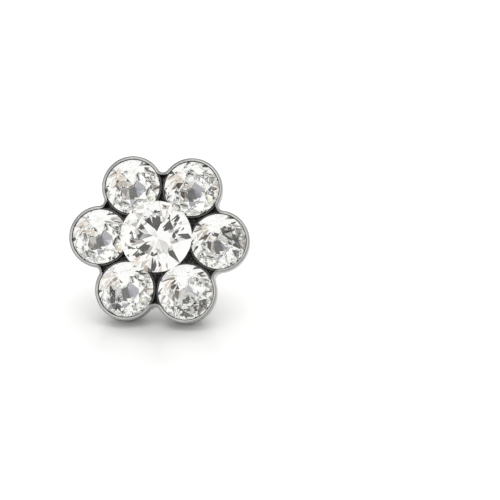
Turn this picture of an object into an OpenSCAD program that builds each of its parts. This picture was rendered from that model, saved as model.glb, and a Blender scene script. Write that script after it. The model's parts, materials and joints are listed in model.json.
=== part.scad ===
// Flower stud earring: six round petal stones about a larger raised centre stone, in one cast setting
// with a scalloped rim, and a straight ear post on the back. All sizes are in millimetres.
//
// The flower is drawn lying flat with its front up and the girdles of its petal stones at height 0.
// It is then leaned back into the place where it rests on a table: on its two lower petals and on
// the tip of its post. There the front looks to -Y and up, and the first petal points to +X.

/* [Flower] */
// Distance from the middle of the flower to the middle of each petal stone
petal_ring_r = 6; // [5.95:0.01:6.1]

/* [Petal stones] */
// Diameter of each petal stone at its girdle
petal_stone_d = 5.5; // [5.4:0.05:5.55]
// Width of the table as a share of the petal stone's diameter
petal_table = 0.58; // [0.5:0.01:0.6]
// Slope of the petal stone's crown facets in degrees
petal_crown_deg = 38; // [28:1:40]
// Slope of the petal stone's pavilion facets in degrees, if its culet were in the middle
petal_pavilion_deg = 34.5; // [33:0.5:41]
// Distance of the petal stone's culet from its axis, as a share of its radius
culet_shift = 0.5; // [0:0.05:0.55]
// Direction of that shift in degrees, anticlockwise from the first petal
culet_way = 130; // [0:1:359]
// Turn of each petal stone in its seat in degrees
petal_turn = 27; // [0:1:44]

/* [Centre stone] */
// Diameter of the centre stone at its girdle
centre_stone_d = 7.1; // [6.8:0.1:7.2]
// Width of the table as a share of the centre stone's diameter
centre_table = 0.6; // [0.5:0.01:0.6]
// Slope of the centre stone's crown facets in degrees
centre_crown_deg = 36; // [28:1:36]
// Slope of the centre stone's pavilion facets in degrees
centre_pavilion_deg = 41; // [39:1:42]
// Turn of the centre stone in its seat in degrees
centre_turn = 0; // [0:1:44]
// Height of the centre stone's girdle over the girdles of the petal stones
centre_rise = 1.85; // [1.8:0.05:2.1]

/* [Setting] */
// Width of the bright rim round the outside of the petals
rim_w = 0.3; // [0.2:0.02:0.3]
// Height of the rim's crest over the girdles of the petal stones
rim_rise = 0.3; // [0.2:0.02:0.4]
// Radius of the hollow corner where the rims of two petals run together
corner_r = 0.55; // [0.45:0.05:0.8]
// Depth of the casting from the girdles of the petal stones to its flat back
setting_depth = 2.9; // [2.85:0.05:3.2]

/* [Ear post] */
// Diameter of the post
post_d = 0.9; // [0.8:0.05:1]
// Length of the post from the back of the setting to its tip
post_l = 11; // [9:0.5:12]
// Diameter of the round pad that joins the post to the setting
pad_d = 4; // [3:0.5:5]
// Thickness of the pad
pad_t = 0.4; // [0.3:0.05:0.5]

/* [Hidden] */
$fn = 96;

petals = 6;
petal_step = 360 / petals;
girdle_t = 0.2;          // thickness of every stone at its girdle
stone_gap = 0.07;        // clear space round a stone in its seat
under_gap = 0.08;        // clear space between a stone's pavilion and the seat under it
pad_gap = 0.04;          // clear space round the pad of the post
seat_wall_t = 0.15;      // wall of the round seat of each petal stone
seat_top = -0.02;        // top of that wall, just under the middle of the girdle
floor_z = -0.5;          // floor of the dark hollows between the stones
plate_back = -1.5;       // back of the plate that joins the petals
wall_straight = 0.7;     // the side of a petal is straight this far down, and rounds in below
bowl_start = 120;        // the round body of a petal is drawn from this angle on
rim_foot = -0.6;         // the rim starts here, inside the straight part of the petals
hub_r = 3.4;             // round hub behind the centre stone
cup_foot_r = 2.2;        // foot of the cup that lifts the centre stone
cup_lip = 0.1;           // the centre stone overhangs its cup by this much
cup_top = 1.4;           // lip of that cup, a little below the centre stone's girdle
pad_sink = 0.2;          // depth of the recess that holds the pad
corner_bite = 0.01;      // a corner's wall is set back by this much, so that it crosses the petals' walls
rim_run_on = 1.5;        // degrees by which a petal's rim runs on past the start of a corner

petal_r = petal_stone_d / 2;
centre_r = centre_stone_d / 2;
post_r = post_d / 2;
seat_r = petal_r + stone_gap;
wall_r = seat_r + rim_w;
bowl_r = setting_depth - wall_straight;
bead_z = rim_rise - rim_w / 2;

// Round a stone stand 8 main facets, with two small halves between each and the next.
mains = 8;
halves = 2 * mains;
main_turn = 360 / mains;
half_turn = 360 / halves;
half_steps = 4;          // straight steps of the round girdle along each half
petal_star = 0.35;       // the crown's stars end this share of the way from the table to the girdle
petal_parting = 0.3;     // the pavilion's mains part this share of the way up from the culet
centre_star = 0.5;       // the same two shares for the centre stone
centre_parting = 0.25;

// The middle of each hollow corner lies as far from both petals as one wall and the corner's own radius.
corner_reach = wall_r + corner_r;
half_pitch = petal_ring_r * sin(petal_step / 2);
corner_ring_r = petal_ring_r * cos(petal_step / 2) + sqrt(pow(corner_reach, 2) - pow(half_pitch, 2));

// Half the turn of the rim round a petal, and half its turn back round a corner.
corner_half_turn = asin(half_pitch / corner_reach);
petal_half_turn = petal_step / 2 + corner_half_turn;

petal_culet = culet_at(petal_r, petal_pavilion_deg, culet_shift);
centre_culet = culet_at(centre_r, centre_pavilion_deg);

// Lean of the flower. Seen from the side, the table touches two round things: the rounded back of the
// lower petals and the ball end of the post.
bowl_v = petal_ring_r * sin(petal_step) + wall_r - bowl_r;
tip_w = setting_depth + post_l - post_r;
lean = acos((post_r - bowl_r) / norm([bowl_v, tip_w - wall_straight])) - atan2(tip_w - wall_straight, bowl_v);
stand_h = tip_w * sin(lean) + post_r;

// Furthest forward is the rim of the lower petals, and furthest back the ball end of the post. The
// earring is moved along Y until the middle of its box is over the origin.
rim_v = petal_ring_r * sin(petal_step) + seat_r + rim_w / 2;
front_y = -(rim_v * sin(lean) + bead_z * cos(lean) + rim_w / 2);
back_y = tip_w * cos(lean) + post_r;
middle_y = (front_y + back_y) / 2;

// Colours of the finished pieces
silver = [0.66, 0.66, 0.65];
steel = [0.78, 0.78, 0.78];
crystal = [0.93, 0.94, 0.93];

// Puts a flat flower piece into the place where the earring rests.
module leaned() {
    translate([0, -middle_y, stand_h]) rotate([90 - lean, 0, 0]) children();
}

// A point at radius r, angle a and height z.
function polar(r, a, z = 0) = [r * cos(a), r * sin(a), z];

// The middle of petal i, counted from the one at X+.
function petal_middle(i) = polar(petal_ring_r, i * petal_step);

// The middle of the hollow corner between petal i and the next one.
function corner_middle(i) = polar(corner_ring_r, (i + 0.5) * petal_step);

// Puts a part of the casting at petal i, turned with it.
module at_petal(i) {
    rotate([0, 0, i * petal_step]) translate([petal_ring_r, 0, 0]) children();
}

// The culet of a stone of radius r, from the middle of its girdle.
function culet_at(r, pavilion_deg, shift = 0) =
    polar(shift * r, culet_way, -girdle_t / 2 - r * tan(pavilion_deg));

// Normal of a main facet of the pavilion: it holds the culet, and touches the girdle at the angle a.
function main_normal(culet, a, r, z) = cross([-sin(a), cos(a), 0], polar(r, a, z) - culet);

// Where the main facet at the angle a and the next one part.
function parting(culet, a, r, z, share) =
    let (along = cross(main_normal(culet, a, r, z), main_normal(culet, a + main_turn, r, z)))
    culet + along * share * (z - culet.z) / along.z;

// Height at the point p, on the plane through three other points.
function plane_height(a, b, c, p) =
    let (n = cross(b - a, c - a)) a.z - (n.x * (p.x - a.x) + n.y * (p.y - a.y)) / n.z;

// One edge of the girdle: each half, with its tip at one of the given points, cuts a shallow arch into it.
function girdle_edge(r, z, tips, turn) = [
    for (h = [0:halves - 1], j = [0:half_steps - 1])
        let (a = turn + h * half_turn, p = polar(r, a + j * half_turn / half_steps))
        [p.x, p.y, plane_height(polar(r, a, z), polar(r, a + half_turn, z), tips[floor(h / 2)], p)]];

// A round brilliant with the middle of its girdle at the origin. Above the girdle are the table, 8 stars,
// 8 kites and 16 halves, and below it 16 halves and the 8 mains, which meet at the culet.
module brilliant(d, table, crown_deg, culet, star_share, parting_share, turn) {
    r = d / 2;
    top = girdle_t / 2;
    table_r = r * table;
    table_z = top + (r - table_r) * tan(crown_deg);
    star_r = table_r + star_share * (r - table_r);
    star_z = top + (r - star_r * cos(half_turn)) * tan(crown_deg);

    corners = [for (k = [0:mains - 1]) polar(table_r, turn + k * main_turn, table_z)];
    stars = [for (k = [0:mains - 1]) polar(star_r, turn + k * main_turn + half_turn, star_z)];
    partings = [for (k = [0:mains - 1]) parting(culet, turn + k * main_turn, r, -top, parting_share)];
    ring = halves * half_steps;

    // Where each kind of point stands in the list of points, counted round the stone.
    function star(k) = mains + (k + mains) % mains;
    function part(k) = 2 * mains + (k + mains) % mains;
    function upper(i) = 3 * mains + i % ring;
    function lower(i) = 3 * mains + ring + i % ring;
    last = 3 * mains + 2 * ring;
    main_steps = 2 * half_steps;

    table_face = [[for (k = [mains - 1:-1:0]) k]];
    star_faces = [for (k = [0:mains - 1]) [k, (k + 1) % mains, star(k)]];
    kites = [for (k = [0:mains - 1]) [k, star(k), upper(k * main_steps), star(k - 1)]];
    upper_halves = [for (h = [0:halves - 1])
        [star(floor(h / 2)), for (j = [half_steps:-1:0]) upper(h * half_steps + j)]];
    girdle_faces = [for (i = [0:ring - 1]) [upper(i), upper(i + 1), lower(i + 1), lower(i)]];
    lower_halves = [for (h = [0:halves - 1])
        [part(floor(h / 2)), for (j = [0:half_steps]) lower(h * half_steps + j)]];
    main_faces = [for (k = [0:mains - 1]) [last, part(k - 1), lower(k * main_steps), part(k)]];

    polyhedron(
        points = concat(corners, stars, partings,
            girdle_edge(r, top, stars, turn), girdle_edge(r, -top, partings, turn), [culet]),
        faces = concat(table_face, star_faces, kites, upper_halves,
            girdle_faces, lower_halves, main_faces));
}

// Half section of one petal of the casting: straight at the side, round to a flat back.
module bowl_section() {
    translate([0, -setting_depth]) square([wall_r - bowl_r, setting_depth + floor_z]);
    translate([0, -wall_straight]) square([wall_r, wall_straight + floor_z]);
    intersection() {
        translate([wall_r - bowl_r, -wall_straight]) circle(r = bowl_r);
        translate([0, -setting_depth]) square([wall_r, bowl_r]);
    }
}

// Half section of a thin wall with a rounded crest, from inner_r outwards.
module rim_section(inner_r, w) {
    translate([inner_r, rim_foot]) square([w, bead_z - rim_foot]);
    translate([inner_r + w / 2, bead_z]) circle(r = w / 2);
}

// The rim runs out round each petal and back round each hollow corner, where its ends run into the
// petals' rims.
module rim() {
    for (i = [0:petals - 1]) {
        at_petal(i) rotate([0, 0, -petal_half_turn - rim_run_on])
            rotate_extrude(angle = 2 * (petal_half_turn + rim_run_on)) rim_section(seat_r, rim_w);
        translate(corner_middle(i)) rotate([0, 0, (i + 0.5) * petal_step + 180 - corner_half_turn])
            rotate_extrude(angle = 2 * corner_half_turn)
                rim_section(corner_r + corner_bite, rim_w - 2 * corner_bite);
    }
}

// A plate of six kites joins the petals under the stones. Its hollow corners follow the rim.
module plate() {
    outline = [for (i = [0:petals - 1]) each [petal_middle(i), corner_middle(i)]];
    difference() {
        translate([0, 0, plate_back]) linear_extrude(floor_z - plate_back)
            polygon([for (p = outline) [p.x, p.y]]);
        for (i = [0:petals - 1])
            translate(corner_middle(i)) translate([0, 0, plate_back - 1])
                cylinder(r = corner_r + corner_bite, h = floor_z - plate_back + 2);
    }
}

// The round cup in the middle widens to its lip and lifts the centre stone over the petals.
module cup() {
    translate([0, 0, floor_z - 0.2])
        cylinder(r1 = cup_foot_r, r2 = centre_r - cup_lip, h = cup_top - floor_z + 0.2);
}

// The space that a stone needs: straight round its girdle, and below it a cone that ends in a flat foot as
// wide as its culet lies off the axis.
module seat_space(r, culet) {
    foot_r = norm([culet.x, culet.y]);
    side_r = r + stone_gap;
    slope = (-girdle_t / 2 - culet.z) / (r - foot_r);
    foot_z = culet.z - under_gap * norm([1, slope]);
    foot = foot_r > 0 ? [[0, foot_z], [foot_r, foot_z]] : [[0, foot_z]];
    rotate_extrude()
        polygon([each foot, [side_r, foot_z + (side_r - foot_r) * slope], [side_r, 2], [0, 2]]);
}

module flower_setting() {
    color(silver) leaned() difference() {
        union() {
            for (i = [0:petals - 1]) at_petal(i) {
                rotate([0, 0, bowl_start]) rotate_extrude() bowl_section();
                translate([0, 0, floor_z - 0.2])
                    cylinder(r = seat_r + seat_wall_t, h = seat_top - floor_z + 0.2);
            }
            plate();
            translate([0, 0, -setting_depth]) cylinder(r = hub_r, h = setting_depth + floor_z - 0.1);
            rim();
            cup();
        }
        for (i = [0:petals - 1]) at_petal(i) seat_space(petal_r, petal_culet);
        translate([0, 0, centre_rise]) seat_space(centre_r, centre_culet);
        translate([0, 0, -setting_depth - 1]) cylinder(r = pad_d / 2 + pad_gap, h = 1 + pad_sink);
    }
}

module ear_post() {
    back = -setting_depth + pad_sink - pad_gap;
    color(steel) leaned() {
        translate([0, 0, back - pad_t]) cylinder(d = pad_d, h = pad_t);
        translate([0, 0, -tip_w]) cylinder(r = post_r, h = tip_w + back - pad_t / 2);
        translate([0, 0, -tip_w]) sphere(r = post_r);
    }
}

module centre_stone() {
    color(crystal) leaned() translate([0, 0, centre_rise])
        brilliant(centre_stone_d, centre_table, centre_crown_deg, centre_culet,
            centre_star, centre_parting, centre_turn);
}

module petal_stone(i) {
    color(crystal) leaned() translate(petal_middle(i))
        brilliant(petal_stone_d, petal_table, petal_crown_deg, petal_culet,
            petal_star, petal_parting, petal_turn);
}

flower_setting();
ear_post();
centre_stone();
petal_stone(0);  // petal_stone_1
petal_stone(1);  // petal_stone_2
petal_stone(2);  // petal_stone_3
petal_stone(3);  // petal_stone_4
petal_stone(4);  // petal_stone_5
petal_stone(5);  // petal_stone_6
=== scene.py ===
# %% [markdown]
# # A flower stud earring
# Seven round cut stones sit in one silvered casting: six petals about a raised middle, inside a scalloped
# rim. A straight post is fixed to the back. The earring lies on a white table, resting on its two lower
# petals and on the tip of its post.
# The measured model of it is loaded first. Everything that is made below keeps to its sizes and places.
# %% Load the measured model
import json
from math import asin, atan2, cos, degrees, hypot, pi, radians, sin, sqrt

import bpy
from mathutils import Matrix, Vector

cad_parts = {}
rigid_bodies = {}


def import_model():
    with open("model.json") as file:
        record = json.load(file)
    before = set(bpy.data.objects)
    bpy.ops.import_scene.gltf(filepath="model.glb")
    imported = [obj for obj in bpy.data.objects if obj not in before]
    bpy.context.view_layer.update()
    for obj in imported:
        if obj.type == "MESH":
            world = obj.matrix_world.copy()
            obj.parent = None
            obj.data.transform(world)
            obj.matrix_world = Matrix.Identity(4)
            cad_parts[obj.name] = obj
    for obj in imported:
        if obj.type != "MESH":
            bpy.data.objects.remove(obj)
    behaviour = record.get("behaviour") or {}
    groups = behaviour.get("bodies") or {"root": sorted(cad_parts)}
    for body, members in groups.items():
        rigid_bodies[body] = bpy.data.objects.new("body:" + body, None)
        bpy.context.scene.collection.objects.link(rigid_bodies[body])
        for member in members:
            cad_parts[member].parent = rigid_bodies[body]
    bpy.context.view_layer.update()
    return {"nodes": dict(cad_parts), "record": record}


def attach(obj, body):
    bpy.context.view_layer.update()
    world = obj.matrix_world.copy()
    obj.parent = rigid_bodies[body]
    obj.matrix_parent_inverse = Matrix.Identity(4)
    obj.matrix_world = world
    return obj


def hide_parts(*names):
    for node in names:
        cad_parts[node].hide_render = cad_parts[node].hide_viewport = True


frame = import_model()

# %% [markdown]
# ## A bench for small work
# The finished earring leans back on its table. It is far easier to model a flower that lies flat with its
# front up, and in millimetres, because many of Blender's tools merge points that are a tenth of a
# millimetre apart. So every piece is made on such a bench, and one matrix puts it into its place.
# The direction of the post gives the lean, and the stones give the middle.
# %% Lay out the bench
MM = 0.001
AT_GIRDLE = 0.999        # a point this far out, as a share of the radius, lies on a stone's girdle
post_mount = next(m for m in frame["record"]["mounts"] if m["name"] == "ear_post_pin")
front = -Vector(post_mount["axis"]).normalized()
right = Vector((1, 0, 0))
up = front.cross(right)
flower_axes = Matrix((right, up, front)).transposed()


def on_flower(point):
    """A point of the room in the flower's directions, in millimetres."""
    return flower_axes.transposed() @ point / MM


def node_points(node, origin=Vector((0, 0, 0))):
    """The corners of a measured node in the flower's directions, in millimetres from the origin."""
    return [on_flower(v.co) - origin for v in frame["nodes"][node].data.vertices]


def middle_of(values):
    return (min(values) + max(values)) / 2


first_stone = node_points("petal_stone_1")
stone_u = middle_of([p.x for p in first_stone])
stone_r = (max(p.x for p in first_stone) - min(p.x for p in first_stone)) / 2
stone_v = middle_of([p.y for p in first_stone])
on_girdle = [p.z for p in first_stone if hypot(p.x - stone_u, p.y - stone_v) > AT_GIRDLE * stone_r]
flower_middle = Vector((on_flower(Vector(post_mount["pos_m"])).x, stone_v, middle_of(on_girdle)))

bench = Matrix.Translation(flower_axes @ flower_middle * MM) @ flower_axes.to_4x4() @ Matrix.Scale(MM, 4)
lean = degrees(asin(front.z))
print("lean %.2f degrees, middle of the flower at %s" % (lean, [round(x, 5) for x in bench.translation]))

# %% [markdown]
# ## Small helpers
# Blender's operators act on what is selected, so the first helper leaves nothing selected that shouldn't
# be. The others copy a piece, merge its doubled points, and count the edges that a closed solid can't have.
# %% Select, copy and weld
def only(piece):
    """Leaves edit mode and selects one piece alone."""
    if bpy.context.object and bpy.context.object.mode != "OBJECT":
        bpy.ops.object.mode_set(mode="OBJECT")
    bpy.ops.object.select_all(action="DESELECT")
    if piece:
        piece.select_set(True)
        bpy.context.view_layer.objects.active = piece


def copy_of(piece, place):
    """A copy of a piece with its own mesh, moved by a matrix."""
    twin = piece.copy()
    twin.data = piece.data.copy()
    bpy.context.scene.collection.objects.link(twin)
    twin.matrix_world = place @ piece.matrix_world
    only(twin)
    bpy.ops.object.transform_apply(location=True, rotation=True, scale=True)
    return twin


def weld(piece, gap=0.0005):
    """Merges doubled points and turns all faces outwards."""
    only(piece)
    bpy.ops.object.mode_set(mode="EDIT")
    bpy.ops.mesh.select_all(action="SELECT")
    bpy.ops.mesh.remove_doubles(threshold=gap)
    bpy.ops.mesh.normals_make_consistent(inside=False)
    bpy.ops.object.mode_set(mode="OBJECT")


def open_edges(piece):
    """Number of edges that don't have two faces. A closed solid has none."""
    uses = {}
    for face in piece.data.polygons:
        for key in face.edge_keys:
            uses[key] = uses.get(key, 0) + 1
    return sum(1 for n in uses.values() if n != 2)


# %% [markdown]
# Every finished piece is handed over in the same way: it is named, put from the bench into its place, and
# the measured node it stands for is hidden.
# %% Hand a piece over
def hand_over(piece, name, stands_for, smooth_below=None):
    """Puts a piece from the bench into its place on the leaning flower, and hides the measured node it
    replaces.
    """
    only(piece)
    if smooth_below:
        bpy.ops.object.shade_smooth_by_angle(angle=radians(smooth_below))
    piece.name = name
    piece.data.name = name
    piece.matrix_world = bench
    bpy.ops.object.transform_apply(location=True, rotation=True, scale=True)
    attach(piece, "root")
    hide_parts(stands_for)
    print("%s: %d faces, %d open edges" % (name, len(piece.data.polygons), open_edges(piece)))
    return piece


# %% [markdown]
# ## The camera
# The earring was looked at from in front and a little above the table, through a long lens. The camera
# stands 120 mm off, below the line that goes straight out of the flower's front. Its place is worked out
# from three small turns between the flower and the picture.
# %% Set up the camera
TILT_DEG = -7.0          # the flower's top leans away from the camera
SWING_DEG = -5.0         # its right side comes a little nearer
ROLL_DEG = -2.36         # it is turned a little clockwise
CAMERA_DISTANCE = 120.6  # mm, from the flower's middle along the camera's line of sight
SIDE_SHIFT = -9.108      # mm, the flower stands left of the middle of the picture
RISE_SHIFT = 1.10        # mm, and a little above it
PICTURE_PIXELS = 500
PIXELS_PER_MM = 9.99     # at the flower's middle
SENSOR_MM = 36

turn = (Matrix.Rotation(radians(ROLL_DEG), 3, "Z") @ Matrix.Rotation(radians(SWING_DEG), 3, "Y")
        @ Matrix.Rotation(radians(TILT_DEG), 3, "X"))
camera_on_bench = turn.transposed() @ Vector((-SIDE_SHIFT, -RISE_SHIFT, CAMERA_DISTANCE))
camera_axes = flower_axes @ turn.transposed()

camera_data = bpy.data.cameras.new("camera")
camera_data.sensor_width = SENSOR_MM
camera_data.lens = PIXELS_PER_MM * CAMERA_DISTANCE / PICTURE_PIXELS * SENSOR_MM
camera_data.clip_start = 0.01
camera = bpy.data.objects.new("camera", camera_data)
bpy.context.scene.collection.objects.link(camera)
camera.matrix_world = Matrix.Translation(bench @ camera_on_bench) @ camera_axes.to_4x4()
bpy.context.scene.camera = camera
to_camera = (camera.matrix_world.translation - bench.translation).normalized()
print("lens %.1f mm, camera %.1f degrees above the table" % (camera_data.lens, degrees(asin(to_camera.z))))

# %% [markdown]
# ## The stones
# A round brilliant is ground from a round blank: one flat after another, each at its own slope. Blender's
# bisect tool does the same. It cuts a cylinder at a plane, throws away what is in front of it and closes
# the cut with one flat face, so the facets are as true as on a lapidary's wheel.
# %% Grind a flat
def polar(r, angle, z=0.0):
    return Vector((r * cos(angle), r * sin(angle), z))


def grind(point, normal):
    """Grinds a flat: all that lies in front of the plane goes."""
    bpy.ops.mesh.select_all(action="SELECT")
    bpy.ops.mesh.bisect(plane_co=point, plane_no=normal.normalized(), use_fill=True,
                        clear_outer=True, threshold=1e-5)


def grind_through(a, b, c, side):
    """Grinds the flat that holds three points and looks up (side 1) or down (side -1)."""
    normal = (b - a).cross(c - a).normalized()
    grind(a, normal if normal.z * side > 0 else -normal)


# %% [markdown]
# A plane needs three points, so the measured stone is asked where its facets meet: at the corners of the
# table, at the tips of the stars round it, at the points where two mains part, and at the culet. On the
# petals' stones the culet lies off the middle, which is what draws their star of facets up and to the
# left.
# %% Ask the measured stones
HAIR = 0.001             # mm, less than this counts as nothing
SLACK = 0.001            # radians, keeps a point at the very start from counting as a whole turn


def way(point, start, about=Vector((0, 0, 0))):
    """How far round a point lies from a starting direction, from nought to one whole turn."""
    return (atan2(point.y - about.y, point.x - about.x) - start + SLACK) % (2 * pi)


def stone_sizes(node):
    """Where a measured stone's facets meet, from the middle of its girdle, in millimetres."""
    points = node_points(node)
    axis = Vector((middle_of([p.x for p in points]), middle_of([p.y for p in points]), 0))
    points = [p - axis for p in points]
    r = max(hypot(p.x, p.y) for p in points)
    girdle = [p.z for p in points if hypot(p.x, p.y) > AT_GIRDLE * r]
    level = middle_of(girdle)
    # Facets share their points, so each point is kept once, to a thousandth of a millimetre.
    met = {(round(p.x, 3), round(p.y, 3), round(p.z, 3)): p - Vector((0, 0, level)) for p in points}
    inside = [p for p in met.values() if hypot(p.x, p.y) < AT_GIRDLE * r]
    top = max(p.z for p in inside)
    culet = min(inside, key=lambda p: p.z)
    corners = sorted((p for p in inside if top - p.z < HAIR), key=lambda p: way(p, 0))
    start = atan2(corners[0].y, corners[0].x)
    stars = sorted((p for p in inside if 0 < p.z < top - HAIR), key=lambda p: way(p, start))
    first = polar(r, start) - culet
    partings = sorted((p for p in inside if p.z < 0 and p is not culet),
                      key=lambda p: way(p, atan2(first.y, first.x), culet))
    return {"r": r, "half_girdle": (max(girdle) - min(girdle)) / 2, "start": start, "corners": corners,
            "stars": stars, "partings": partings, "culet": culet, "table_z": top,
            "middle": axis + Vector((0, 0, level)) - flower_middle}


petal_size = stone_sizes("petal_stone_1")
centre_size = stone_sizes("centre_stone")
for name, size in (("petal", petal_size), ("centre", centre_size)):
    print("%s stone: %.2f mm across, %.2f mm deep, culet %.2f mm off its axis" % (
        name, 2 * size["r"], size["table_z"] - size["culet"].z, hypot(size["culet"].x, size["culet"].y)))

# %% [markdown]
# Above the girdle lie the table, 8 kites, 8 stars and 16 halves. Below it are 8 mains, which meet at the
# culet, and 16 halves. The table is ground first, and then one loop goes round the stone for the rest.
# %% Cut the stones
MAINS = 8                # main facets round a stone
MAIN_TURN = 2 * pi / MAINS
HALF_TURN = MAIN_TURN / 2
GIRDLE_SIDES = 64        # flats of the round girdle
BLANK_SPARE = 1          # mm, how much longer than the stone its blank is


def cut_brilliant(size):
    """A round brilliant on the bench, the middle of its girdle at the origin."""
    r, top, culet, table_z = size["r"], size["half_girdle"], size["culet"], size["table_z"]
    only(None)
    bpy.ops.mesh.primitive_cylinder_add(vertices=GIRDLE_SIDES, radius=r,
                                        depth=table_z - culet.z + BLANK_SPARE,
                                        location=(0, 0, (table_z + culet.z) / 2),
                                        rotation=(0, 0, size["start"]))
    stone = bpy.context.object
    bpy.ops.object.transform_apply(location=True, rotation=True, scale=True)
    bpy.ops.object.mode_set(mode="EDIT")
    grind(Vector((0, 0, table_z)), Vector((0, 0, 1)))
    for k in range(MAINS):
        angle = size["start"] + k * MAIN_TURN
        corner, next_corner = size["corners"][k], size["corners"][(k + 1) % MAINS]
        star, parting = size["stars"][k], size["partings"][k]
        grind_through(corner, star, polar(r, angle, top), 1)
        grind_through(corner, next_corner, star, 1)
        grind_through(culet, parting, polar(r, angle, -top), -1)
        for begin in (angle, angle + HALF_TURN):
            grind_through(star, polar(r, begin, top), polar(r, begin + HALF_TURN, top), 1)
            grind_through(parting, polar(r, begin, -top), polar(r, begin + HALF_TURN, -top), -1)
    bpy.ops.object.mode_set(mode="OBJECT")
    weld(stone)
    return stone


petal_blank = cut_brilliant(petal_size)
centre_blank = cut_brilliant(centre_size)
for name, blank in (("petal", petal_blank), ("centre", centre_blank)):
    print("%s stone: %d flats, %d open edges" % (name, len(blank.data.polygons), open_edges(blank)))

# %% [markdown]
# ## Glass, foil and a ground girdle
# Each stone is clear glass with a mirror coating on the facets below its girdle. The girdle itself is
# ground dull, and the coating that reaches over it mirrors softly. Light goes in through the crown, meets
# the mirrors twice or more, and comes out elsewhere. That is all there is to sparkle, so the glass needs
# no texture: it needs true flats, a true refractive index and enough light bounces.
# The stones have no colour of their own. The warm, green and lilac flecks in them come from the room.
# %% Materials of the stones
CRYSTAL_IOR = 1.58


def new_material(name):
    """An empty material and its nodes, with a Principled shader."""
    material = bpy.data.materials.new(name)
    material.use_nodes = True
    nodes = material.node_tree.nodes
    return material, nodes, material.node_tree.links, nodes["Principled BSDF"]


def clear_glass():
    material, nodes, links, shader = new_material("clear_glass")
    shader.inputs["Base Color"].default_value = (0.99, 0.995, 0.99, 1)
    shader.inputs["Roughness"].default_value = 0.0
    shader.inputs["IOR"].default_value = CRYSTAL_IOR
    shader.inputs["Transmission Weight"].default_value = 1.0
    return material


def foil():
    material, nodes, links, shader = new_material("foil")
    shader.inputs["Base Color"].default_value = (0.98, 0.98, 0.975, 1)
    shader.inputs["Metallic"].default_value = 1.0
    shader.inputs["Roughness"].default_value = 0.01
    return material


def ground_girdle():
    material, nodes, links, shader = new_material("ground_girdle")
    shader.inputs["Base Color"].default_value = (0.95, 0.95, 0.945, 1)
    shader.inputs["Metallic"].default_value = 1.0
    shader.inputs["Roughness"].default_value = 0.1
    return material


# %% [markdown]
# The way a facet looks tells what it gets. The upright ones are the ground girdle, those that look down
# are foiled, and the rest stay clear.
# %% Coat the stones
GIRDLE_SLOPE = 0.01      # a facet whose normal rises less than this belongs to the girdle
stone_materials = [clear_glass(), foil(), ground_girdle()]
GLASS, FOIL, GIRDLE = range(3)


def coat(stone):
    """Gives the crown clear glass, the facets below the girdle foil, and the girdle its dull foil."""
    for material in stone_materials:
        stone.data.materials.append(material)
    for face in stone.data.polygons:
        if abs(face.normal.z) < GIRDLE_SLOPE:
            face.material_index = GIRDLE
        elif face.normal.z < 0:
            face.material_index = FOIL
        else:
            face.material_index = GLASS


for blank in (petal_blank, centre_blank):
    coat(blank)
    counts = [sum(1 for face in blank.data.polygons if face.material_index == k) for k in range(3)]
    print("facets of glass, foil and girdle:", counts)

# %% [markdown]
# ## Set the stones
# One petal stone was cut, and the six petals get copies of it. All six are set the same way round, so
# the same star of facets shows in each.
# %% Copy the stones into their seats
PETALS = 6
PETAL_TURN = 2 * pi / PETALS
RING_R = hypot(petal_size["middle"].x, petal_size["middle"].y)

for i in range(PETALS):
    name = "petal_stone_%d" % (i + 1)
    place = Matrix.Translation(polar(RING_R, i * PETAL_TURN))
    hand_over(copy_of(petal_blank, place), "cut_" + name, name)
bpy.data.objects.remove(petal_blank)
centre_stone = copy_of(centre_blank, Matrix.Translation(centre_size["middle"]))
bpy.data.objects.remove(centre_blank)
hand_over(centre_stone, "cut_centre_stone", "centre_stone")
print("ring of petals %.2f mm, centre stone raised %.2f mm" % (RING_R, centre_size["middle"].z))

# %% [markdown]
# ## The body of the casting
# Under the stones the casting is six round bowls, joined by a plate and a hub, with a cup in the middle
# that lifts the centre stone. The measured setting gives the reach of the petals' walls, the depth of the
# casting and the height of its rim.
# %% Measure the setting
setting_points = node_points("flower_setting", flower_middle)
WALL_R = max(p.x for p in setting_points) - RING_R
DEPTH = -min(p.z for p in setting_points)
outer_ring = [p for p in setting_points if hypot(p.x, p.y) > RING_R + WALL_R / 2 and p.z > 0]
RIM_RISE = max(p.z for p in outer_ring)
RIM_W = 0.30             # thickness of the rim
SEAT_R = WALL_R - RIM_W  # radius of the round hole that holds a petal's stone
FLOOR_Z = -0.5           # floor of the hollows between the stones
print("petal wall %.2f mm, depth %.2f mm, rim %.2f mm over the girdles" % (WALL_R, DEPTH, RIM_RISE))

# %% [markdown]
# All its parts but the plate are turned shapes. A circle is added and extruded ring by ring, the way clay
# is raised on a wheel. Rings that follow an arc make a bowl, or a rounded lip.
# %% Turn a solid
ROUND_STEPS = 96         # sides of a turned shape


def turned(rings, sides=ROUND_STEPS, centre=Vector((0, 0, 0))):
    """A closed turned solid: a filled circle, extruded up or down through the rings (radius, height)."""
    only(None)
    first_r, first_z = rings[0]
    bpy.ops.mesh.primitive_circle_add(vertices=sides, radius=first_r, fill_type="NGON",
                                      location=centre + Vector((0, 0, first_z)))
    piece = bpy.context.object
    bpy.ops.object.transform_apply(location=True, rotation=True, scale=True)
    bpy.ops.object.mode_set(mode="EDIT")
    bpy.ops.mesh.select_all(action="SELECT")
    for (r, z), (next_r, next_z) in zip(rings, rings[1:]):
        bpy.ops.mesh.extrude_region_move(TRANSFORM_OT_translate={"value": (0, 0, next_z - z)})
        bpy.ops.transform.resize(value=(next_r / r, next_r / r, 1))
    bpy.ops.object.mode_set(mode="OBJECT")
    weld(piece, gap=0.0001)
    return piece


def arc(middle, radius, start_deg, end_deg, steps):
    """Rings along an arc in a half section, as (radius, height)."""
    angles = [radians(start_deg + (end_deg - start_deg) * i / steps) for i in range(steps + 1)]
    return [(middle[0] + radius * cos(a), middle[1] + radius * sin(a)) for a in angles]


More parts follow.
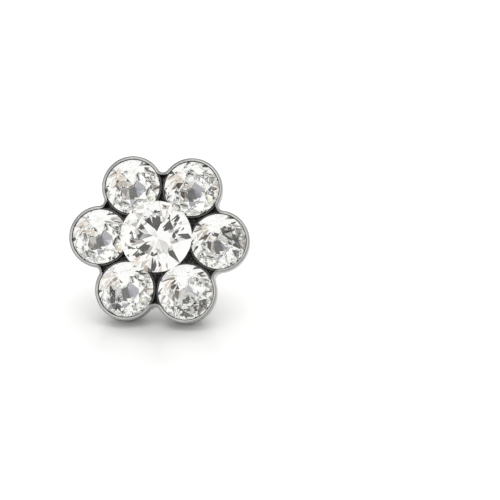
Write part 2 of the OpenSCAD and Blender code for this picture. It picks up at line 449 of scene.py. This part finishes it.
# %% [markdown]
# A petal is a bowl with a round back, and a thin wall stands on it round the stone's seat. The seat is
# hollowed out by a solid of its own, which has the size of the stone and the clear space about it.
# %% Bowls, walls and seats
WALL_STRAIGHT = 0.7      # a petal's side is straight down to here
BOWL_R = DEPTH - WALL_STRAIGHT
SEAT_WALL = 0.15         # thin wall round each seat
SEAT_TOP = -0.02
SEAT_REACH = 2           # the hollowed space reaches this far up from the stone's girdle
UNDER_GAP = 0.08         # clear space under a stone
SIDE_GAP = SEAT_R - petal_size["r"]
SUNK = 0.2               # how far under the floor a fused part starts


def bowl(centre):
    """The body of one petal: a flat back, a quarter round and a short straight side."""
    quarter = arc((WALL_R - BOWL_R, -WALL_STRAIGHT), BOWL_R, -90, 0, 16)
    return turned(quarter + [(WALL_R, FLOOR_Z)], centre=centre)


def seat_wall(centre):
    """The thin upright wall round a seat, with a rounded lip."""
    outer = SEAT_R + SEAT_WALL
    lip = SEAT_WALL / 2
    rounded = arc((outer - lip, SEAT_TOP - lip), lip, 0, 90, 4)
    return turned([(outer, FLOOR_Z - SUNK)] + rounded, centre=centre)


def seat_space(size, centre):
    """The room for a stone: straight round its girdle, with a cone below it that ends in a flat foot."""
    foot_r = max(hypot(size["culet"].x, size["culet"].y), HAIR)
    slope = (-size["half_girdle"] - size["culet"].z) / (size["r"] - foot_r)
    foot_z = size["culet"].z - UNDER_GAP * hypot(1, slope)
    side_r = size["r"] + SIDE_GAP
    side_z = foot_z + (side_r - foot_r) * slope
    return turned([(foot_r, foot_z), (side_r, side_z), (side_r, SEAT_REACH)], centre=centre)


def petal_middles():
    return [polar(RING_R, i * PETAL_TURN) for i in range(PETALS)]


# %% [markdown]
# Two petals' rims run together in a hollow corner. Its middle lies as far from the middles of both petals
# as a wall and the corner's own radius together. That reach and half the petals' pitch are two sides of a
# right triangle, and its third side gives the place.
# %% Place the hollow corners
CORNER_R = 0.55          # radius of a hollow corner between two petals
corner_reach = WALL_R + CORNER_R
half_pitch = RING_R * sin(PETAL_TURN / 2)
CORNER_RING_R = RING_R * cos(PETAL_TURN / 2) + sqrt(corner_reach ** 2 - half_pitch ** 2)
corner_half_turn = asin(half_pitch / corner_reach)
petal_half_turn = PETAL_TURN / 2 + corner_half_turn
print("hollow corners on a ring of %.2f mm radius" % CORNER_RING_R)


def corner_middles():
    return [polar(CORNER_RING_R, (i + 0.5) * PETAL_TURN) for i in range(PETALS)]


# %% [markdown]
# The plate fills what lies between the petals. It starts as a circle of twelve points. Every other point
# stays at the middle of a petal, and the ones between are pulled out to the hollow corners.
# %% Lay the plate
PLATE_BACK = -1.5        # height of its lower side


def plate():
    """The plate between the petals, extruded up to the floor of the hollows."""
    only(None)
    bpy.ops.mesh.primitive_circle_add(vertices=2 * PETALS, radius=RING_R, fill_type="NGON",
                                      location=(0, 0, PLATE_BACK))
    piece = bpy.context.object
    bpy.ops.object.transform_apply(location=True, rotation=True, scale=True)
    for vertex in piece.data.vertices:
        step = round(atan2(vertex.co.y, vertex.co.x) / (PETAL_TURN / 2))
        reach = RING_R if step % 2 == 0 else CORNER_RING_R
        vertex.co = polar(reach, step * PETAL_TURN / 2, PLATE_BACK)
    bpy.ops.object.mode_set(mode="EDIT")
    bpy.ops.mesh.select_all(action="SELECT")
    bpy.ops.mesh.extrude_region_move(TRANSFORM_OT_translate={"value": (0, 0, FLOOR_Z - PLATE_BACK)})
    bpy.ops.object.mode_set(mode="OBJECT")
    weld(piece)
    return piece


# %% [markdown]
# The boolean modifier fuses solids, or takes one away from another. It can work with a whole collection at
# once, so the tools go into one, and both are removed when the work is done.
# %% Fuse and take away
def boolean(target, tools, operation):
    """Fuses tools into the target, or takes them away, and removes the tools."""
    group = bpy.data.collections.new("tools")
    bpy.context.scene.collection.children.link(group)
    for tool in tools:
        for home in tool.users_collection:
            home.objects.unlink(tool)
        group.objects.link(tool)
    only(target)
    step = target.modifiers.new("fuse", "BOOLEAN")
    step.operation = operation
    step.operand_type = "COLLECTION"
    step.collection = group
    step.solver = "EXACT"
    step.use_self = operation == "UNION"
    bpy.ops.object.modifier_apply(modifier=step.name)
    for tool in tools:
        bpy.data.objects.remove(tool)
    bpy.data.collections.remove(group)


# %% [markdown]
# The hub comes first. The plate, the cup, the bowls and the thin walls are fused to it. Then the rooms for
# the stones, the round corners and the recess of the post's pad are taken away.
# %% Fuse the body
HUB_R = 3.4
HUB_TOP = FLOOR_Z - 0.1
CUP_FOOT_R = 2.2
CUP_TOP = 1.4            # height of the cup's lip
CUP_INSET = 0.1          # how far the lip stays inside the centre stone's edge
PAD_R = 2.0
PAD_SINK = 0.2           # depth of the recess for the pad
PAD_GAP = 0.04           # clear space round the pad
CUT_TOP = 1              # a cutting solid ends up here, clear of the metal
CUT_FOOT = -DEPTH - 1    # and one that comes from the back starts here
cup_rings = [(CUP_FOOT_R, FLOOR_Z - SUNK), (centre_size["r"] - CUP_INSET, CUP_TOP)]
body = turned([(HUB_R, -DEPTH), (HUB_R, HUB_TOP)])
added = [plate(), turned(cup_rings)]
added += [bowl(m) for m in petal_middles()] + [seat_wall(m) for m in petal_middles()]
boolean(body, added, "UNION")
taken = [seat_space(petal_size, m) for m in petal_middles()]
taken += [seat_space(centre_size, centre_size["middle"])]
taken += [turned([(CORNER_R, -DEPTH), (CORNER_R, CUT_TOP)], centre=m) for m in corner_middles()]
taken += [turned([(PAD_R + PAD_GAP, CUT_FOOT), (PAD_R + PAD_GAP, -DEPTH + PAD_SINK)])]
boolean(body, taken, "DIFFERENCE")
weld(body)
print("body: %d faces, %d open edges" % (len(body.data.polygons), open_edges(body)))

# %% [markdown]
# ## The scalloped rim
# The bright line round the flower is a thin wall with a rounded crest. Its section is a small upright
# plane with its two upper corners bevelled round. The spin tool carries the section round a petal, then
# back round the hollow corner, and so on, until it meets its own start.
# With no window the spin tool turns clockwise for a positive angle, so the angles here are negated.
# %% Spin the rim
PETAL_STEPS = 60         # parts of the sweep round a petal
CORNER_STEPS = 24        # and round a hollow corner
CREST_SEGMENTS = 8       # parts of each quarter round of the crest
CREST_R = RIM_W * 0.499  # just under half the width, so the two rounds don't quite meet


def spin(centre, angle, steps):
    bpy.ops.mesh.spin(steps=steps, angle=-angle, center=centre, axis=(0, 0, 1))


def scalloped_rim():
    only(None)
    bpy.ops.mesh.primitive_plane_add(size=1, location=(0, 0, 0), rotation=(pi / 2, 0, 0))
    piece = bpy.context.object
    piece.scale = (RIM_W, RIM_RISE - FLOOR_Z, 1)
    piece.location = (RING_R + (SEAT_R + WALL_R) / 2, 0, (RIM_RISE + FLOOR_Z) / 2)
    bpy.ops.object.transform_apply(location=True, rotation=True, scale=True)
    for vertex in piece.data.vertices:
        vertex.select = vertex.co.z > 0
    for edge in piece.data.edges:
        edge.select = False
    for face in piece.data.polygons:
        face.select = False
    bpy.ops.object.mode_set(mode="EDIT")
    bpy.ops.mesh.select_mode(type="VERT")
    bpy.ops.mesh.bevel(offset=CREST_R, segments=CREST_SEGMENTS, affect="VERTICES")
    bpy.ops.mesh.select_all(action="SELECT")
    bpy.ops.mesh.delete(type="ONLY_FACE")
    bpy.ops.mesh.select_all(action="SELECT")
    # The section stands at the petal's outermost point. It is first swung back to where the petal begins.
    bpy.ops.transform.rotate(value=petal_half_turn, orient_axis="Z", center_override=(RING_R, 0, 0))
    for i in range(PETALS):
        spin(polar(RING_R, i * PETAL_TURN), 2 * petal_half_turn, PETAL_STEPS)
        spin(polar(CORNER_RING_R, (i + 0.5) * PETAL_TURN), -2 * corner_half_turn, CORNER_STEPS)
    bpy.ops.object.mode_set(mode="OBJECT")
    weld(piece)
    return piece


rim = scalloped_rim()
print("rim: %d faces, %d open edges" % (len(rim.data.polygons), open_edges(rim)))
print("rim box", [round(min(v.co[k] for v in rim.data.vertices), 3) for k in range(3)],
      [round(max(v.co[k] for v in rim.data.vertices), 3) for k in range(3)])

# %% [markdown]
# ## The ear post
# The post is drawn wire with a ball end, on a round pad. It is turned like the bowls, with a small
# radius on the pad's edges.
# %% Turn the post
PAD_T = 0.4
PAD_EDGE = 0.08          # radius of the pad's edges
POST_R = 0.45
FILLET_R = 0.1           # hollow round where the post meets its pad
POST_SIDES = 64
post_points = node_points("ear_post", flower_middle)
TIP_Z = min(p.z for p in post_points) + POST_R
PAD_TOP = max(p.z for p in post_points)
post_rings = arc((HAIR, TIP_Z), POST_R, -88, 0, 12)
fillet_z = PAD_TOP - PAD_T - FILLET_R
post_rings += [(POST_R, fillet_z)]
post_rings += arc((POST_R + FILLET_R, fillet_z), FILLET_R, 180, 90, 6)
post_rings += arc((PAD_R - PAD_EDGE, PAD_TOP - PAD_T + PAD_EDGE), PAD_EDGE, -90, 0, 5)
post_rings += arc((PAD_R - PAD_EDGE, PAD_TOP - PAD_EDGE), PAD_EDGE, 0, 90, 5)
post = turned(post_rings, sides=POST_SIDES)
print("post and pad: %d faces, %d open edges" % (len(post.data.polygons), open_edges(post)))

# %% [markdown]
# ## Patterns that lie on the flower
# A finish varies from place to place. The finished piece leans, so its own coordinates don't follow the
# flower, and a Mapping node turns them back: after it, the vector is in millimetres and its third number
# is the height over the stones' girdles. The patterns are noise, carried from one range to another.
# %% Helpers for materials
def flower_coordinates(nodes, links):
    """The flower's own millimetres, worked out from the leaning piece's coordinates."""
    source = nodes.new("ShaderNodeTexCoord")
    mapping = nodes.new("ShaderNodeMapping")
    mapping.vector_type = "TEXTURE"
    mapping.inputs["Location"].default_value = bench.translation
    mapping.inputs["Rotation"].default_value = flower_axes.to_euler()
    mapping.inputs["Scale"].default_value = (MM, MM, MM)
    links.new(source.outputs["Object"], mapping.inputs["Vector"])
    return mapping.outputs["Vector"]


def noise(nodes, links, vector, scale, detail=3.0):
    texture = nodes.new("ShaderNodeTexNoise")
    texture.inputs["Scale"].default_value = scale
    texture.inputs["Detail"].default_value = detail
    links.new(vector, texture.inputs["Vector"])
    return texture.outputs["Fac"]


def blend_range(nodes, links, value, low, high, to_low, to_high):
    """Carries a value from one range to another, and stops at both ends."""
    step = nodes.new("ShaderNodeMapRange")
    for name, number in (("From Min", low), ("From Max", high), ("To Min", to_low), ("To Max", to_high)):
        step.inputs[name].default_value = number
    links.new(value, step.inputs["Value"])
    return step.outputs["Result"]


def bump(nodes, links, height, depth, shader):
    step = nodes.new("ShaderNodeBump")
    step.inputs["Strength"].default_value = 0.4
    step.inputs["Distance"].default_value = depth * MM
    links.new(height, step.inputs["Height"])
    links.new(step.outputs["Normal"], shader.inputs["Normal"])


# %% [markdown]
# ## Polished silver with painted shade, and a painted highlight
# The casting is plated and polished where a cloth can reach: the outside and the crest of the rim. A
# cloth leaves a haze that changes within a millimetre, and very low waves, so one noise drives the
# roughness and another bends the surface. The polished silver's colour is painted dark grey, a painted
# shade on the rim's outside. A brighter, smoother silver along the crest beside the stones is a painted
# highlight line.
# %% Polished silver with painted shade, and the painted highlight
def polished_shaded_silver():
    material, nodes, links, shader = new_material("polished_shaded_silver")
    vector = flower_coordinates(nodes, links)
    # dark grey: painted shade on the rim's outside
    shader.inputs["Base Color"].default_value = (0.36, 0.36, 0.355, 1)
    shader.inputs["Metallic"].default_value = 1.0
    haze = noise(nodes, links, vector, 1.2)
    links.new(blend_range(nodes, links, haze, 0.3, 0.7, 0.10, 0.22), shader.inputs["Roughness"])
    bump(nodes, links, noise(nodes, links, vector, 5.0), 0.02, shader)
    return material


def crest_highlight_silver():
    material, nodes, links, shader = new_material("crest_highlight_silver")
    vector = flower_coordinates(nodes, links)
    # bright: the painted highlight line along the crest
    shader.inputs["Base Color"].default_value = (0.62, 0.62, 0.61, 1)
    shader.inputs["Metallic"].default_value = 1.0
    haze = noise(nodes, links, vector, 2.0)
    links.new(blend_range(nodes, links, haze, 0.3, 0.7, 0.06, 0.14), shader.inputs["Roughness"])
    return material


# %% [markdown]
# ## The black finish
# The hollows between the stones were blackened, and the polishing never got there. One material does the
# hollows and the lips of their walls. The lips are painted lighter, a painted highlight, so the material
# asks how high a point lies on the flower, and lighter specks where the noise is high are painted glints.
# %% The black finish
def black_finish():
    material, nodes, links, shader = new_material("black_finish")
    vector = flower_coordinates(nodes, links)
    split = nodes.new("ShaderNodeSeparateXYZ")
    links.new(vector, split.inputs["Vector"])
    # painted highlight: lighter towards the top of the walls' lips
    lip_highlight = blend_range(nodes, links, split.outputs["Z"], -0.16, -0.04, 0.0, 1.0)
    grain = noise(nodes, links, vector, 5.0, 6.0)
    highlight_and_glints = nodes.new("ShaderNodeMath")
    highlight_and_glints.operation = "MAXIMUM"
    links.new(lip_highlight, highlight_and_glints.inputs[0])
    # painted glints: lighter specks where the noise is high
    links.new(blend_range(nodes, links, grain, 0.50, 0.62, 0.0, 1.0), highlight_and_glints.inputs[1])
    # A is the black of the hollows, B the lighter grey of the painted highlight on the lips and the painted
    # glints
    tone = nodes.new("ShaderNodeMix")
    tone.data_type = "RGBA"
    tone.inputs["A"].default_value = (0.02, 0.02, 0.02, 1)
    tone.inputs["B"].default_value = (0.13, 0.13, 0.125, 1)
    links.new(highlight_and_glints.outputs["Value"], tone.inputs["Factor"])
    links.new(tone.outputs["Result"], shader.inputs["Base Color"])
    shader.inputs["Metallic"].default_value = 1.0
    links.new(blend_range(nodes, links, grain, 0.3, 0.7, 0.2, 0.5), shader.inputs["Roughness"])
    bump(nodes, links, grain, 0.12, shader)
    return material


# %% [markdown]
# ## Cast, plated and drawn metal
# The back is plated as it came from the mould, so it has the coarsest grain. The outside of the cup under
# the centre stone kept its bright plating: the petal stones mirror it, and beside a black cup they would
# go dark. The post is drawn wire, plain and even.
# %% Cast, plated and drawn metal
def cast_silver():
    material, nodes, links, shader = new_material("cast_silver")
    vector = flower_coordinates(nodes, links)
    shader.inputs["Base Color"].default_value = (0.50, 0.50, 0.49, 1)
    shader.inputs["Metallic"].default_value = 1.0
    grain = noise(nodes, links, vector, 4.0, 6.0)
    links.new(blend_range(nodes, links, grain, 0.3, 0.7, 0.22, 0.42), shader.inputs["Roughness"])
    bump(nodes, links, grain, 0.04, shader)
    return material


def plated_cup():
    material, nodes, links, shader = new_material("plated_cup")
    vector = flower_coordinates(nodes, links)
    shader.inputs["Base Color"].default_value = (0.78, 0.78, 0.77, 1)
    shader.inputs["Metallic"].default_value = 1.0
    grain = noise(nodes, links, vector, 3.0, 4.0)
    links.new(blend_range(nodes, links, grain, 0.3, 0.7, 0.12, 0.25), shader.inputs["Roughness"])
    return material


def drawn_steel():
    material, nodes, links, shader = new_material("drawn_steel")
    vector = flower_coordinates(nodes, links)
    shader.inputs["Base Color"].default_value = (0.72, 0.72, 0.72, 1)
    shader.inputs["Metallic"].default_value = 1.0
    haze = noise(nodes, links, vector, 4.0)
    links.new(blend_range(nodes, links, haze, 0.3, 0.7, 0.15, 0.3), shader.inputs["Roughness"])
    return material


# %% [markdown]
# ## Give every face its finish
# Each face gets a material by its place or by the way it looks. On the body, all below the floor of the
# hollows is cast, the outside of the cup is plated and the rest is black.
# %% Finish the body
CUP_REACH = 0.1          # how far a face's middle may lie from the cup's cone
SMOOTH_BELOW = 35        # degrees: a blunter edge is shaded round, a sharper one stays sharp


def on_cup(point):
    """Whether a point of the body lies on the outside of the centre stone's cup."""
    (foot_r, foot_z), (lip_r, lip_z) = cup_rings
    wall = foot_r + (point.z - foot_z) * (lip_r - foot_r) / (lip_z - foot_z)
    return point.z > FLOOR_Z + HAIR and abs(hypot(point.x, point.y) - wall) < CUP_REACH


blackened = black_finish()
body.data.materials.clear()
for material in (cast_silver(), blackened, plated_cup()):
    body.data.materials.append(material)
CAST, HOLLOW, CUP = range(3)
for face in body.data.polygons:
    face.material_index = CAST if face.center.z < FLOOR_Z - HAIR else HOLLOW
    if on_cup(face.center):
        face.material_index = CUP
print("faces of the cup's outside:", sum(1 for face in body.data.polygons if face.material_index == CUP))
hand_over(body, "cast_body", "flower_setting", smooth_below=SMOOTH_BELOW)

# %% [markdown]
# On the rim, the wall towards the stone is black like the hollows, and that black is also a painted shadow
# in the gap beside the stone. The crest beside it gets the painted highlight line, and the rest the
# polished silver with painted shade. The post is the same all over.
# %% Finish the rim and the post
UPRIGHT = 0.1            # a face whose normal rises less than this counts as upright
CREST_HIGHLIGHT_W = 0.14       # width of the bright line along the crest


def nearest_petal(point):
    return min(petal_middles(), key=lambda middle: hypot(point.x - middle.x, point.y - middle.y))


for material in (polished_shaded_silver(), blackened, crest_highlight_silver()):
    rim.data.materials.append(material)
POLISHED_SHADED, BLACK_GAP_SHADOW, CREST_HIGHLIGHT = range(3)
for face in rim.data.polygons:
    outward = face.center - nearest_petal(face.center)
    if abs(face.normal.z) < UPRIGHT:
        # the inner wall is black like the hollows, and also a painted shadow in the gap beside the stone
        face.material_index = BLACK_GAP_SHADOW if face.normal.dot(outward) < 0 else POLISHED_SHADED
    # the inner half of the crest gets the painted highlight line
    elif hypot(outward.x, outward.y) < SEAT_R + CREST_HIGHLIGHT_W:
        face.material_index = CREST_HIGHLIGHT
post.data.materials.append(drawn_steel())
hand_over(rim, "scalloped_rim", "flower_setting", smooth_below=SMOOTH_BELOW)
hand_over(post, "post_and_pad", "ear_post", smooth_below=SMOOTH_BELOW)

# %% [markdown]
# ## The table
# The earring lies on a white table with a dull shine. It is a plain plane,
# and it isn't a piece of the earring.
# %% Lay the table
TABLE_SIZE = 2           # m


def white_table():
    material, nodes, links, shader = new_material("white_table")
    shader.inputs["Base Color"].default_value = (0.84, 0.84, 0.84, 1)
    shader.inputs["Roughness"].default_value = 0.18
    return material


only(None)
bpy.ops.mesh.primitive_plane_add(size=TABLE_SIZE, location=(0, 0, 0))
table = bpy.context.object
table.name = "white_table"
table.data.materials.append(white_table())
print("table %.1f m wide" % TABLE_SIZE)

# %% [markdown]
# ## The room
# What makes facets readable is what isn't white. A stone shows the half of the room behind the camera,
# and its foil folds in the ceiling and the far side too. So the bright room has a dark gap overhead, a
# warm wall to the right, grey screens to the left, small dark cards that draw thin rays, a few pale
# tinted cards, and the camera itself. They are painted into the sky of the scene at fixed directions: the
# dot product of two directions tells how far apart they are, so each card is a round spot with a soft edge.
# %% List what the stones can see
BRIGHT_ROOM = (1.05, 1.05, 1.04)
DARK_CARD = (0.07, 0.055, 0.045)
ROOM_PARTS = [
    # name, degrees round from the front (right is positive), degrees up, half width and softness of the
    # edge in degrees, colour. A later part hangs before an earlier one.
    ("ceiling", 120, 84, 10, 4, (0.30, 0.28, 0.25)),
    ("gap between lamps", -100, 63, 18, 3, (0.13, 0.13, 0.13)),
    ("grey screen", -84, 28, 10, 4, (0.42, 0.42, 0.44)),
    ("lilac screen", -88, 44, 10, 3, (0.33, 0.33, 0.40)),
    ("green card, left", -120, 20, 7, 4, (0.92, 0.95, 0.74)),
    ("green card, behind", 150, 50, 7, 4, (0.88, 0.95, 0.76)),
    ("lilac card, right", 60, 40, 6, 2, (0.90, 0.82, 0.98)),
    ("grey card over the camera", -4, 44, 8, 3, (0.50, 0.46, 0.44)),
    ("warm wall", 36, 15, 14, 4, (0.72, 0.63, 0.54)),
    ("dark card, low", 38, 9, 5, 1, DARK_CARD),
    ("dark card, near", 29, 23, 4, 1, DARK_CARD),
    ("dark card, far", 47, 20, 4, 1, DARK_CARD),
    ("dark card, small", 24, 11, 3, 1, DARK_CARD),
    ("grey screen, behind", 136, 66, 13, 3, (0.52, 0.49, 0.46)),
    ("dark card, behind", 122, 61, 5, 1, DARK_CARD),
    ("dark card, overhead", 106, 73, 5, 1, DARK_CARD),
    ("dark card, back left", 152, 70, 4, 1, (0.16, 0.15, 0.14)),
    ("lilac card, behind", -150, 60, 6, 2, (0.34, 0.34, 0.40)),
    ("camera", 3, 26, 9, 1, (0.06, 0.06, 0.06)),
]
print("parts of the room:", len(ROOM_PARTS))

# %% [markdown]
# Each part takes three nodes: the dot product with its direction, a narrow range that makes its edge, and
# a mix that lays its colour over the parts before it.
# %% Paint the room
def direction(round_deg, up_deg):
    a, e = radians(round_deg), radians(up_deg)
    return Vector((sin(a) * cos(e), -cos(a) * cos(e), sin(e)))


def room(parts):
    world = bpy.data.worlds.new("room")
    bpy.context.scene.world = world
    world.use_nodes = True
    nodes, links = world.node_tree.nodes, world.node_tree.links
    source = nodes.new("ShaderNodeTexCoord")
    colour = None
    for name, round_deg, up_deg, half_width, edge, part_colour in parts:
        dot = nodes.new("ShaderNodeVectorMath")
        dot.operation = "DOT_PRODUCT"
        dot.label = name
        dot.inputs[1].default_value = direction(round_deg, up_deg)
        links.new(source.outputs["Generated"], dot.inputs[0])
        outer = cos(radians(half_width + edge))
        inner = cos(radians(half_width - edge))
        inside = blend_range(nodes, links, dot.outputs["Value"], outer, inner, 0.0, 1.0)
        mix = nodes.new("ShaderNodeMix")
        mix.data_type = "RGBA"
        links.new(inside, mix.inputs["Factor"])
        mix.inputs["A"].default_value = (*BRIGHT_ROOM, 1)
        if colour:
            links.new(colour, mix.inputs["A"])
        mix.inputs["B"].default_value = (*part_colour, 1)
        colour = mix.outputs["Result"]
    links.new(colour, nodes["Background"].inputs["Color"])


room(ROOM_PARTS)


# %% [markdown]
# ## The lamp
# One large soft lamp overhead draws the shadow on the table. The stones and the metal don't see it: they
# mirror the painted room alone.
# %% Hang the lamp
LAMP_PLACE = (0, 0.12, 0.33)
LAMP_SIZE = 0.4
LAMP_POWER = 1.0


def soft_box(name, location, size, power):
    light = bpy.data.lights.new(name, "AREA")
    light.size = size
    light.energy = power
    box = bpy.data.objects.new(name, light)
    bpy.context.scene.collection.objects.link(box)
    box.location = location
    box.rotation_euler = (-Vector(location)).to_track_quat("-Z", "Y").to_euler()
    box.visible_glossy = False
    box.visible_transmission = False


soft_box("overhead_box", LAMP_PLACE, LAMP_SIZE, LAMP_POWER)
print("lamp %.2f m wide, %.2f m over the table" % (LAMP_SIZE, LAMP_PLACE[2]))

# %% [markdown]
# ## How the picture is developed
# Sparkle lives in long chains of reflections, so the bounce limits go up. The standard view keeps white
# paper white.
# %% Set bounces and view
scene = bpy.context.scene
scene.cycles.max_bounces = 24
scene.cycles.glossy_bounces = 16
scene.cycles.transmission_bounces = 20
scene.view_settings.view_transform = "Standard"
print("bounces:", scene.cycles.max_bounces, "view:", scene.view_settings.view_transform)
